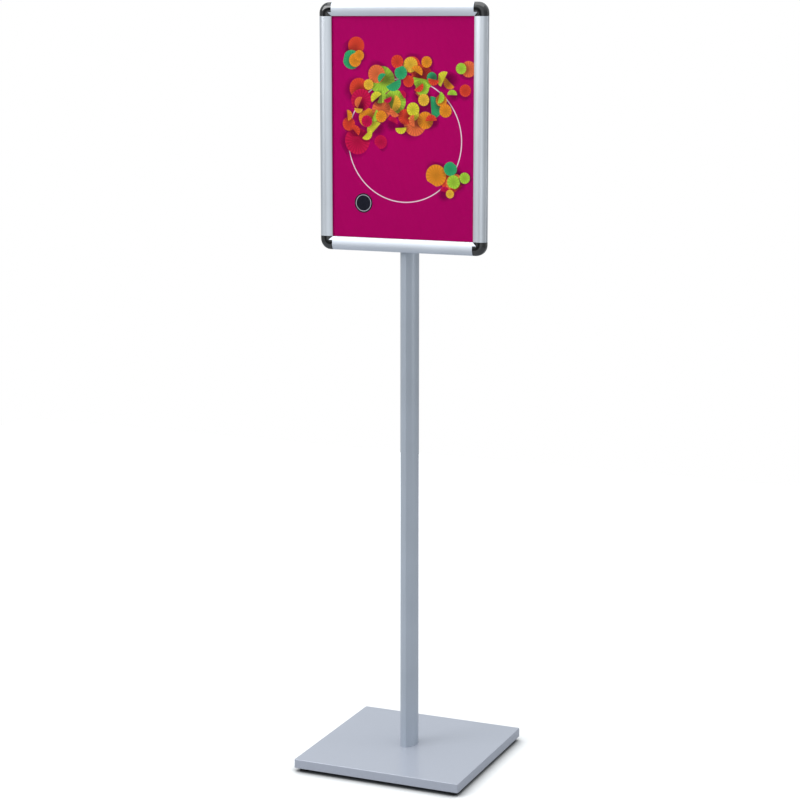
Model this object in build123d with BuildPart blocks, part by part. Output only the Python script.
from build123d import *

import os
from math import acos, atan2, cos, degrees, radians, sin, sqrt

# Poster stand: an A3 snap frame that turns a quarter turn on an oval pole, over a
# weighted square base on four rubber feet.
# Millimetres. The origin is on the floor at the middle of the base, +Z is up, +X is to
# the right as seen from the front, and the poster faces -Y.

os.makedirs("parts", exist_ok=True)

# Sheet and what lies with it in the frame
sheet_width = 297.0
sheet_height = 420.0
sheet_overlap = 8.5  # how far the rails reach over each edge of the sheet
poster_thickness = 0.25
panel_thickness = 2.0
cover_thickness = 0.5

# Rails, measured from the frame's outer edge inwards and from its back forwards
rail_width = 25.0
rail_depth = 13.5
rail_skin = 1.25  # wall of the snap rail
rail_wall = 1.5  # walls of the base rail
crest_in = 11.0  # where the snap rail is highest
edge_height = 9.6  # front of the snap rail at the window
window_round = 1.2  # that edge's rounding
ledge_back = 3.0
ledge_end_in = 22.0
ledge_thickness = 1.5
upright_in = 14.2  # wall that the back panel lies against
upright_step = 2.4  # how far that wall stands above the ledge
panel_fit = 0.3  # side play of the back panel
outer_wall_height = 4.9
lip_gap = 0.3  # snap rail over the clear cover
rail_end_gap = 0.3  # snap rail beside the corner caps

# Bead hinge of a snap rail
bead_radius = 1.5
bead_fit = 0.1
hinge_height = 6.9
hook_gap = 0.3  # turning hook over the base rail's walls
hook_inner_angle = 8.0
hook_outer_angle = 206.0
neck_angle = 325.0
neck_thickness = 1.1

# Snap springs
spring_thickness = 0.5
spring_length = 22.0
spring_gap = 0.35  # under the snap rail
spring_side_gap = 0.8  # beside the channel's walls

# Corners of the frame
corner_straight = 5.0  # straight lead between the round corner and the rail
cap_wall = 1.8
tip_in = 18.0  # where the mitred tips of the top and bottom snap rails begin
tip_gap = 0.6  # round those tips, for their swing
bracket_arm = 35.0  # how far a corner bracket reaches into a rail
bracket_thickness = 2.0
bracket_fit = 0.45
bracket_round = 12.0
bracket_gusset = 18.5

# Cross bar, stud and stop pin, carried by the frame
bar_height = 70.0
bar_thickness = 2.0
bar_round = 6.0
stud_radius = 4.0
stud_fit = 0.1
stud_chamfer = 0.8
press_fit = 0.05  # round a screw, bolt, nut or pin in its hole
flange_radius = 10.0
flange_thickness = 1.3
pin_radius = 2.0
pin_reach = 2.5  # into the stop slot
pin_orbit = 21.0
turn = 90.0

# Pole
pole_width = 32.6
pole_depth = 52.0
pole_flat = 6.4  # flat strip down its front and back
pole_wall = 2.0
port_radius = 4.0
port_wall = 2.0
port_y = 19.0
pivot_height = 1211.5
pole_above_pivot = 45.0
pole_cap_height = 3.0
pole_cap_plug = 12.0
pole_cap_fit = 0.15

# Swivel head and its clamp, carried by the pole
head_nose = 2.0  # head in front of the pole
head_height = 76.0
head_width = 62.0
head_round = 6.0
head_fit = 0.05
clamp_nose = 4.0  # clamp behind the pole
clamp_nose_width = 30.0
clamp_hat_width = 42.0  # where the clamp's hat meets its ears
clamp_ear = 8.0
clamp_split = 3.0
clamp_screw_x = 26.0
clamp_screw_radius = 3.0
clamp_screw_head = 5.0
clamp_screw_head_height = 6.0
clamp_screw_depth = 14.0
slot_depth = 3.2
slot_fit = 0.5
bush_wall = 2.0
bush_flange_radius = 16.0
bush_flange_thickness = 1.4
running_gap = 0.1

# Rear end of the pivot
washer_thickness = 1.6
washer_radius = 10.0
nut_flats = 13.0
nut_height = 8.0
stud_past_nut = 2.0

# Base
base_width = 334.0
base_height = 17.0
base_sheet = 1.5
base_corner = 2.5
foot_clearance = 8.0  # from the floor to the base cover
ballast_thickness = 8.0
ballast_fit = 0.6
foot_radius = 9.0
foot_floor_radius = 8.0
foot_in = 14.5
pole_bolt_reach = 40.0
pole_bolt_flats = 13.0
pole_bolt_head_height = 5.3
pole_bolt_hole_fit = 0.5

# What follows from the sizes above
frame_width = sheet_width + 2 * (rail_width - sheet_overlap)
frame_height = sheet_height + 2 * (rail_width - sheet_overlap)
panel_width = frame_width - 2 * (upright_in + panel_fit)
panel_height = frame_height - 2 * (upright_in + panel_fit)
panel_seat = ledge_back + ledge_thickness
cover_front = panel_seat + panel_thickness + poster_thickness + cover_thickness
lip_back = cover_front + lip_gap
bar_back = ledge_back - bar_thickness
base_top = foot_clearance + base_height
base_inside = base_top - base_sheet
ballast_bottom = base_inside - ballast_thickness
pole_front = -pole_depth / 2
head_front = pole_front - head_nose
bush_radius = stud_radius + stud_fit + bush_wall
frame_back = head_front - bush_flange_thickness - running_gap + bar_back
clamp_back = pole_depth / 2 + clamp_nose
clamp_seat = clamp_split / 2 + clamp_ear
washer_front = clamp_back + running_gap
nut_front = washer_front + washer_thickness
stud_end = nut_front + nut_height + stud_past_nut
half_width = frame_width / 2
half_height = frame_height / 2
foot_place = base_width / 2 - foot_in

to_front = Vector(0, -1, 0)
level = Plane.XY.offset(pivot_height)
inward = {
    "top": Vector(0, 0, -1),
    "bottom": Vector(0, 0, 1),
    "left": Vector(1, 0, 0),
    "right": Vector(-1, 0, 0),
}
rail_length = {
    "top": frame_width - 2 * rail_width,
    "bottom": frame_width - 2 * rail_width,
    "left": frame_height - 2 * rail_width,
    "right": frame_height - 2 * rail_width,
}


def side_plane(side):
    """Section plane halfway along a side: local x runs inwards, local y to the front."""
    x_dir = inward[side]
    origin = (
        -x_dir.X * frame_width / 2,
        frame_back,
        pivot_height - x_dir.Z * frame_height / 2,
    )
    return Plane(origin=origin, x_dir=x_dir, z_dir=x_dir.cross(to_front))


def face_plane(side):
    """The frame's back halfway along a side: local x runs inwards, local z to the front."""
    return Plane(origin=side_plane(side).origin, x_dir=inward[side], z_dir=to_front)


def facing_front(height):
    """Plane of the frame at a height over its back, with local z to the front."""
    return Plane(
        origin=(0, frame_back - height, pivot_height), x_dir=(1, 0, 0), z_dir=(0, -1, 0)
    )


def facing_back(y):
    """Plane at a depth y, centred on the pivot, with local z to the back."""
    return Plane(origin=(0, y, pivot_height), x_dir=(-1, 0, 0), z_dir=(0, 1, 0))


def around(centre, radius, angle):
    """Point on a circle, in degrees from local x."""
    return (
        centre[0] + radius * cos(radians(angle)),
        centre[1] + radius * sin(radians(angle)),
    )


def save(builder, name):
    """Label a finished piece and write it under its own name."""
    builder.part.label = name
    export_step(builder.part, f"parts/{name}.step")


# Outline of the rails' front: three arcs, tangent to each other.
# The hook round the bead runs into the outer crown, and that into the inner crown.
hook_bore = bead_radius + bead_fit
hook_radius = hook_bore + rail_skin
hinge = (hook_radius, hinge_height)
crest_run = crest_in - hook_radius
crest_rise = rail_depth - hinge_height
outer_crown = (crest_run**2 + crest_rise**2 - hook_radius**2) / (2 * (crest_rise - hook_radius))
outer_centre = (crest_in, rail_depth - outer_crown)
edge_run = rail_width - crest_in
edge_drop = rail_depth - edge_height
inner_crown = (edge_run**2 + edge_drop**2) / (2 * edge_drop)
inner_centre = (crest_in, rail_depth - inner_crown)
shoulder = degrees(atan2(hinge[1] - outer_centre[1], hinge[0] - outer_centre[0]))


def crown_angle(wall, distance_in):
    """Angle on the inner crown, a wall under its surface, above a distance inwards."""
    return degrees(acos((distance_in - crest_in) / (inner_crown - wall)))


def under_inner_crown(wall, distance_in):
    """Point a wall under the inner crown, above a distance inwards."""
    return around(inner_centre, inner_crown - wall, crown_angle(wall, distance_in))


# Section of a snap rail: hook, crown and the lip that holds the clear cover
hook_to_outer = outer_crown - hook_radius
under_crown = outer_crown - rail_skin
claw_spread = degrees(
    acos(
        (under_crown**2 - hook_to_outer**2 - hook_radius**2)
        / (2 * hook_to_outer * hook_radius)
    )
)
claw_root = shoulder - claw_spread
root_point = around(hinge, hook_radius, claw_root)
root_angle = degrees(atan2(root_point[1] - outer_centre[1], root_point[0] - outer_centre[0]))
lip_in = rail_width - rail_skin
lip_round = rail_skin / 2
lip_centre = (rail_width - lip_round, lip_back + lip_round)
hook_wrap = hook_outer_angle - hook_inner_angle

with BuildSketch() as snap_rail_section:
    with BuildLine():
        CenterArc(hinge, hook_radius, shoulder, hook_outer_angle - shoulder)
        CenterArc(outer_centre, outer_crown, 90, shoulder - 90)
        edge_angle = crown_angle(0, rail_width)
        CenterArc(inner_centre, inner_crown, edge_angle, 90 - edge_angle)
        Line(under_inner_crown(0, rail_width), (rail_width, lip_centre[1]))
        CenterArc(lip_centre, lip_round, 180, 180)
        Line((lip_in, lip_centre[1]), under_inner_crown(rail_skin, lip_in))
        lip_angle = crown_angle(rail_skin, lip_in)
        CenterArc(inner_centre, inner_crown - rail_skin, lip_angle, 90 - lip_angle)
        CenterArc(outer_centre, under_crown, 90, root_angle - 90)
        CenterArc(hinge, hook_radius, hook_inner_angle, claw_root - hook_inner_angle)
        Line(around(hinge, hook_radius, hook_inner_angle), around(hinge, hook_bore, hook_inner_angle))
        CenterArc(hinge, hook_bore, hook_inner_angle, hook_wrap)
        Line(around(hinge, hook_bore, hook_outer_angle), around(hinge, hook_radius, hook_outer_angle))
    make_face()
    fillet(snap_rail_section.vertices().group_by(Axis.X)[-1].sort_by(Axis.Y)[-1], window_round)

# Section of a base rail: web, outer wall, upright, ledge, and the bead on its neck
neck_top = around(hinge, hook_radius + hook_gap + neck_thickness / 2, neck_angle)
upright_top = panel_seat + upright_step
with BuildSketch() as base_rail_section:
    with BuildLine():
        Polyline(
            (0, 0),
            (upright_in, 0),
            (upright_in, ledge_back),
            (ledge_end_in, ledge_back),
            (ledge_end_in, panel_seat),
            (upright_in, panel_seat),
            (upright_in, upright_top),
            (upright_in - rail_wall, upright_top),
            (upright_in - rail_wall, rail_wall),
            (rail_wall, rail_wall),
            (rail_wall, outer_wall_height),
            (0, outer_wall_height),
            close=True,
        )
    make_face()
    with Locations(hinge):
        Circle(hook_radius + hook_gap, mode=Mode.SUBTRACT)
    with BuildLine():
        Polyline((neck_top[0], rail_wall / 2), neck_top, hinge)
    trace(line_width=neck_thickness)
    with Locations(hinge):
        Circle(bead_radius)

# Outline of a corner cap: the same front, closed down to the back
with BuildSketch() as cap_outline:
    with BuildLine():
        Line((0, 0), (0, hinge_height))
        CenterArc(hinge, hook_radius, shoulder, 180 - shoulder)
        CenterArc(outer_centre, outer_crown, 90, shoulder - 90)
        CenterArc(inner_centre, inner_crown, edge_angle, 90 - edge_angle)
        Polyline(under_inner_crown(0, rail_width), (rail_width, 0), (0, 0))
    make_face()
    fillet(cap_outline.vertices().group_by(Axis.X)[-1].sort_by(Axis.Y)[-1], window_round)

# Hollow of a corner cap: over its floor, under its crown, and open past its lip
cap_lip_in = rail_width - cap_wall
with BuildSketch() as cap_hollow:
    with BuildLine():
        Polyline(
            (cap_wall, rail_wall),
            (cap_wall, hinge_height),
            around(outer_centre, outer_crown - cap_wall, shoulder),
            (crest_in, rail_depth - cap_wall),
            under_inner_crown(cap_wall, cap_lip_in),
            (cap_lip_in, cover_front),
            (rail_width + cap_wall, cover_front),
            (rail_width + cap_wall, -cap_wall),
            (upright_in, -cap_wall),
            (upright_in, rail_wall),
            close=True,
        )
    make_face()

# Base cover: folded sheet steel, open below
with BuildPart() as base_cover:
    with BuildSketch(Plane.XY.offset(foot_clearance)):
        RectangleRounded(base_width, base_width, base_corner)
    extrude(amount=base_height)
    fillet(base_cover.faces().sort_by(Axis.Z)[-1].edges(), base_sheet)
    with BuildSketch(Plane.XY.offset(foot_clearance)):
        Rectangle(base_width - 2 * base_sheet, base_width - 2 * base_sheet)
    extrude(amount=base_height - base_sheet, mode=Mode.SUBTRACT)
    with Locations(Plane.XY.offset(base_top)):
        with Locations((0, -port_y), (0, port_y)):
            Hole(port_radius + pole_bolt_hole_fit)
save(base_cover, "base_cover")

# Ballast plate under the cover
ballast_width = base_width - 2 * (base_sheet + ballast_fit)
with BuildPart() as ballast_plate:
    with BuildSketch(Plane.XY.offset(ballast_bottom)):
        Rectangle(ballast_width, ballast_width)
        with Locations((0, -port_y), (0, port_y)):
            Circle(port_radius + pole_bolt_hole_fit, mode=Mode.SUBTRACT)
    extrude(amount=ballast_thickness)
save(ballast_plate, "ballast_plate")

# Rubber feet, tapered, bonded under the ballast
with BuildPart() as feet:
    with GridLocations(2 * foot_place, 2 * foot_place, 2, 2):
        Cone(
            foot_floor_radius,
            foot_radius,
            ballast_bottom,
            align=(Align.CENTER, Align.CENTER, Align.MIN),
        )
save(feet, "feet")

# Pole: barrel-shaped extrusion with a screw port at its front and back
with BuildSketch() as pole_outline:
    with BuildLine():
        Line((-pole_flat / 2, pole_front), (pole_flat / 2, pole_front))
        ThreePointArc((pole_flat / 2, pole_front), (pole_width / 2, 0), (pole_flat / 2, -pole_front))
        Line((pole_flat / 2, -pole_front), (-pole_flat / 2, -pole_front))
        ThreePointArc(
            (-pole_flat / 2, -pole_front), (-pole_width / 2, 0), (-pole_flat / 2, pole_front)
        )
    make_face()

with BuildSketch() as pole_section:
    add(pole_outline.sketch)
    offset(amount=-pole_wall, mode=Mode.SUBTRACT)
    with Locations((0, -port_y), (0, port_y)):
        Circle(port_radius + port_wall)
        Circle(port_radius, mode=Mode.SUBTRACT)

pole_top = pivot_height + pole_above_pivot
with BuildPart() as pole:
    with BuildSketch(Plane.XY.offset(base_top)):
        add(pole_section.sketch)
    extrude(amount=pole_top - base_top)
    with Locations(facing_back(0)):
        Cylinder(bush_radius + head_fit, 2 * pole_depth, mode=Mode.SUBTRACT)
save(pole, "pole")

# Pole cap: flat lid with a plug between the screw ports
plug_length = 2 * (port_y - port_radius - port_wall - pole_cap_fit)
with BuildPart() as pole_cap:
    with BuildSketch(Plane.XY.offset(pole_top)):
        add(pole_outline.sketch)
    extrude(amount=pole_cap_height)
    with BuildSketch(Plane.XY.offset(pole_top)):
        add(pole_outline.sketch)
        offset(amount=-(pole_wall + pole_cap_fit), mode=Mode.REPLACE)
        Rectangle(pole_width, plug_length, mode=Mode.INTERSECT)
    extrude(amount=-pole_cap_plug)
save(pole_cap, "pole_cap")

# Bolts that hold the pole, from under the ballast
with BuildPart() as pole_bolts:
    with BuildSketch(Plane.XY.offset(ballast_bottom)):
        with Locations((0, -port_y), (0, port_y)):
            RegularPolygon(pole_bolt_flats / 2, 6, major_radius=False)
    extrude(amount=-pole_bolt_head_height)
    with BuildSketch(Plane.XY.offset(ballast_bottom)):
        with Locations((0, -port_y), (0, port_y)):
            Circle(port_radius - press_fit)
    extrude(amount=base_top - ballast_bottom + pole_bolt_reach)
save(pole_bolts, "pole_bolts")

# Swivel head: block on the pole's front, with the quarter-turn slot in its face
clamp_screw_places = [(-clamp_screw_x, 0), (clamp_screw_x, 0)]
stop_arc = CenterArc((0, 0), pin_orbit, 180 - turn / 2, turn)
head_bottom = Plane.XY.offset(pivot_height - head_height / 2)
with BuildPart() as swivel_head:
    with BuildSketch(head_bottom):
        with Locations((0, -clamp_split / 2)):
            block = Rectangle(
                head_width, -head_front - clamp_split / 2, align=(Align.CENTER, Align.MAX)
            )
        fillet(block.vertices().group_by(Axis.Y)[0], head_round)
        offset(pole_outline.sketch, amount=head_fit, mode=Mode.SUBTRACT)
    extrude(amount=head_height)
    with BuildSketch(facing_back(head_front)):
        SlotArc(stop_arc, 2 * (pin_radius + slot_fit))
    extrude(amount=slot_depth, mode=Mode.SUBTRACT)
    with Locations(facing_back(0)):
        Cylinder(bush_radius + head_fit, 2 * pole_depth, mode=Mode.SUBTRACT)
    with Locations(facing_back(-clamp_split / 2)):
        with Locations(*clamp_screw_places):
            Hole(clamp_screw_radius + press_fit, clamp_screw_depth + clamp_screw_radius)
save(swivel_head, "swivel_head")

# Swivel clamp: a hat with two ears that the screws pull to the head
with BuildPart() as swivel_clamp:
    with BuildSketch(head_bottom):
        with BuildLine():
            Polyline(
                (-head_width / 2, clamp_split / 2),
                (-head_width / 2, clamp_seat),
                (-clamp_hat_width / 2, clamp_seat),
                (-clamp_nose_width / 2, clamp_back),
                (clamp_nose_width / 2, clamp_back),
                (clamp_hat_width / 2, clamp_seat),
                (head_width / 2, clamp_seat),
                (head_width / 2, clamp_split / 2),
                close=True,
            )
        hat = make_face()
        fillet(hat.vertices().group_by(Axis.Y)[-1], head_round)
        offset(pole_outline.sketch, amount=head_fit, mode=Mode.SUBTRACT)
    extrude(amount=head_height)
    with Locations(facing_back(0)):
        Cylinder(bush_radius + head_fit, 2 * pole_depth, mode=Mode.SUBTRACT)
    with Locations(facing_back(clamp_seat)):
        with Locations(*clamp_screw_places):
            Hole(clamp_screw_radius + press_fit)
save(swivel_clamp, "swivel_clamp")

with BuildPart(facing_back(clamp_seat)) as clamp_screws:
    with Locations(*clamp_screw_places):
        Cylinder(
            clamp_screw_head,
            clamp_screw_head_height,
            align=(Align.CENTER, Align.CENTER, Align.MIN),
        )
        Cylinder(
            clamp_screw_radius,
            clamp_seat + clamp_split / 2 + clamp_screw_depth,
            align=(Align.CENTER, Align.CENTER, Align.MAX),
        )
save(clamp_screws, "clamp_screws")

# Bush through the pole, whose flange is the friction face in front of the head
with BuildPart(facing_back(head_front)) as pivot_bush:
    Cylinder(
        bush_flange_radius,
        bush_flange_thickness,
        align=(Align.CENTER, Align.CENTER, Align.MAX),
    )
    Cylinder(
        bush_radius,
        clamp_back - head_front,
        align=(Align.CENTER, Align.CENTER, Align.MIN),
    )
    Hole(stud_radius + stud_fit)
save(pivot_bush, "pivot_bush")

# Cross bar over the frame's back, behind the ledges of the left and right rails
pin_x = pin_orbit * cos(radians(turn / 2))
pin_z = pin_orbit * sin(radians(turn / 2))
with BuildPart() as cross_bar:
    with BuildSketch(facing_front(bar_back)):
        RectangleRounded(panel_width, bar_height, bar_round)
        Circle(stud_radius + press_fit, mode=Mode.SUBTRACT)
        with Locations((pin_x, pin_z)):
            Circle(pin_radius + press_fit, mode=Mode.SUBTRACT)
    extrude(amount=bar_thickness)
save(cross_bar, "cross_bar")

# Pivot stud with its flange in front of the bar
with BuildPart() as pivot_stud:
    with BuildSketch(facing_front(ledge_back)):
        Circle(flange_radius)
    extrude(amount=flange_thickness)
    with BuildSketch(facing_front(ledge_back)):
        Circle(stud_radius)
    extrude(amount=-(stud_end - frame_back + ledge_back))
    chamfer(pivot_stud.edges().sort_by(Axis.Y)[-1], stud_chamfer)
save(pivot_stud, "pivot_stud")

with BuildPart() as stop_pin:
    with BuildSketch(facing_front(ledge_back)):
        with Locations((pin_x, pin_z)):
            Circle(pin_radius)
    extrude(amount=-(head_front + pin_reach - frame_back + ledge_back))
save(stop_pin, "stop_pin")

# Washer and lock nut on the stud's rear end
with BuildPart() as thrust_washer:
    with BuildSketch(facing_back(washer_front)):
        Circle(washer_radius)
        Circle(stud_radius + press_fit, mode=Mode.SUBTRACT)
    extrude(amount=washer_thickness)
save(thrust_washer, "thrust_washer")

with BuildPart() as lock_nut:
    with BuildSketch(facing_back(nut_front)):
        RegularPolygon(nut_flats / 2, 6, major_radius=False)
        Circle(stud_radius + press_fit, mode=Mode.SUBTRACT)
    extrude(amount=nut_height)
save(lock_nut, "lock_nut")

# Base rails and snap rails, one of each on every side
snap_half = {side: length / 2 - rail_end_gap for side, length in rail_length.items()}
for side in inward:
    with BuildPart() as base_rail:
        with BuildSketch(side_plane(side)):
            add(base_rail_section.sketch)
        extrude(amount=rail_length[side] / 2, both=True)
    save(base_rail, f"base_rail_{side}")

    with BuildPart() as snap_rail:
        with BuildSketch(side_plane(side)):
            add(snap_rail_section.sketch)
        if side in ("left", "right"):
            extrude(amount=snap_half[side], both=True)
        else:
            extrude(amount=rail_length[side] / 2 + rail_width, both=True)
            with BuildSketch(face_plane(side)):
                with BuildLine():
                    half_outline = Polyline(
                        (0, 0),
                        (0, snap_half[side]),
                        (tip_in, snap_half[side]),
                        (tip_in, rail_length[side] / 2 + rail_width - tip_in),
                        (rail_width, rail_length[side] / 2),
                        (rail_width, 0),
                    )
                    mirror(half_outline, about=Plane.XZ)
                make_face()
            extrude(amount=2 * rail_depth, mode=Mode.INTERSECT)
    save(snap_rail, f"snap_rail_{side}")

# Channel of a base rail, between its bead and its upright
channel_start = neck_top[0] + neck_thickness / 2
channel_end = upright_in - rail_wall
channel_middle = (channel_start + channel_end) / 2

# Snap springs: bent strips between the base rails and the snap rails
spring_seat = rail_wall + spring_thickness / 2
spring_inner = channel_end - spring_side_gap - spring_thickness / 2
spring_outer = channel_start + spring_side_gap + spring_thickness / 2
spring_tip_in = (spring_inner + spring_outer) / 2
spring_tip_height = (
    outer_centre[1]
    + sqrt(under_crown**2 - (spring_tip_in - crest_in) ** 2)
    - spring_gap
    - spring_thickness / 2
)
with BuildSketch() as spring_section:
    with BuildLine():
        Polyline(
            (spring_inner, spring_seat),
            (spring_outer, spring_seat),
            (spring_inner, upright_top - spring_thickness),
            (spring_tip_in, spring_tip_height),
        )
    trace(line_width=spring_thickness)

with BuildPart() as snap_springs:
    for side in inward:
        for place in (-rail_length[side] / 4, rail_length[side] / 4):
            with BuildSketch(side_plane(side).offset(place)):
                add(spring_section.sketch)
            extrude(amount=spring_length / 2, both=True)
save(snap_springs, "snap_springs")

# Corners: each piece is made at the bottom left and mirrored to the other three
corner_radius = rail_width - corner_straight


def round_corner(section, lead):
    """Turn a section a quarter about the corner's centre, with a straight lead on each end."""
    bottom_start = side_plane("bottom").offset(corner_radius - half_width)
    left_start = side_plane("left").offset(half_height - corner_radius)
    centre = bottom_start.from_local_coords((corner_radius, 0, 0))
    with BuildPart() as corner:
        with BuildSketch(bottom_start):
            add(section)
            Rectangle(
                corner_radius, 4 * rail_depth, align=(Align.MIN, Align.CENTER), mode=Mode.INTERSECT
            )
        revolve(axis=Axis(centre, to_front), revolution_arc=-90)
        with BuildSketch(bottom_start):
            add(section)
        extrude(amount=lead)
        with BuildSketch(left_start):
            add(section)
        extrude(amount=-lead)
    return corner


cap_outside = round_corner(cap_outline.sketch, corner_straight)
cap_inside = round_corner(cap_hollow.sketch, corner_straight + cap_wall)
notch_in = tip_in - tip_gap
notch_side = sqrt(2) * tip_gap
with BuildPart() as corner_caps:
    add(cap_outside.part)
    add(cap_inside.part, mode=Mode.SUBTRACT)
    with BuildSketch(facing_front(cover_front)):
        with Locations((-half_width, -half_height)):
            Polygon(
                (notch_in - notch_side, notch_in),
                (2 * rail_width, notch_in),
                (2 * rail_width, 2 * rail_width + notch_side),
                align=None,
            )
    extrude(amount=rail_depth, mode=Mode.SUBTRACT)
    mirror(about=Plane.YZ)
    mirror(about=level)
save(corner_caps, "corner_caps")

arm_width = channel_end - channel_start - 2 * bracket_fit
arm_start = channel_middle - arm_width / 2
with BuildPart() as corner_brackets:
    with BuildSketch(facing_front(rail_wall)):
        with Locations((arm_start - half_width, arm_start - half_height)):
            gusset = Rectangle(
                bracket_gusset - channel_middle,
                bracket_gusset - channel_middle,
                align=(Align.MIN, Align.MIN),
            )
            Rectangle(arm_width, rail_width + bracket_arm, align=(Align.MIN, Align.MIN))
            Rectangle(rail_width + bracket_arm, arm_width, align=(Align.MIN, Align.MIN))
    extrude(amount=bracket_thickness)
    outer_corner = corner_brackets.edges().filter_by(Axis.Y).group_by(Axis.X)[0].sort_by(Axis.Z)[0]
    fillet(outer_corner, bracket_round)
    mirror(about=Plane.YZ)
    mirror(about=level)
save(corner_brackets, "corner_brackets")

# Back panel, sheet and clear cover, one on the other
with BuildPart() as back_panel:
    with BuildSketch(facing_front(panel_seat)):
        Rectangle(panel_width, panel_height)
    extrude(amount=panel_thickness)
save(back_panel, "back_panel")

with BuildPart() as poster:
    with BuildSketch(facing_front(panel_seat + panel_thickness)):
        Rectangle(sheet_width, sheet_height)
    extrude(amount=poster_thickness)
save(poster, "poster")

with BuildPart() as clear_cover:
    with BuildSketch(facing_front(cover_front - cover_thickness)):
        Rectangle(panel_width, panel_height)
    extrude(amount=cover_thickness)
save(clear_cover, "clear_cover")
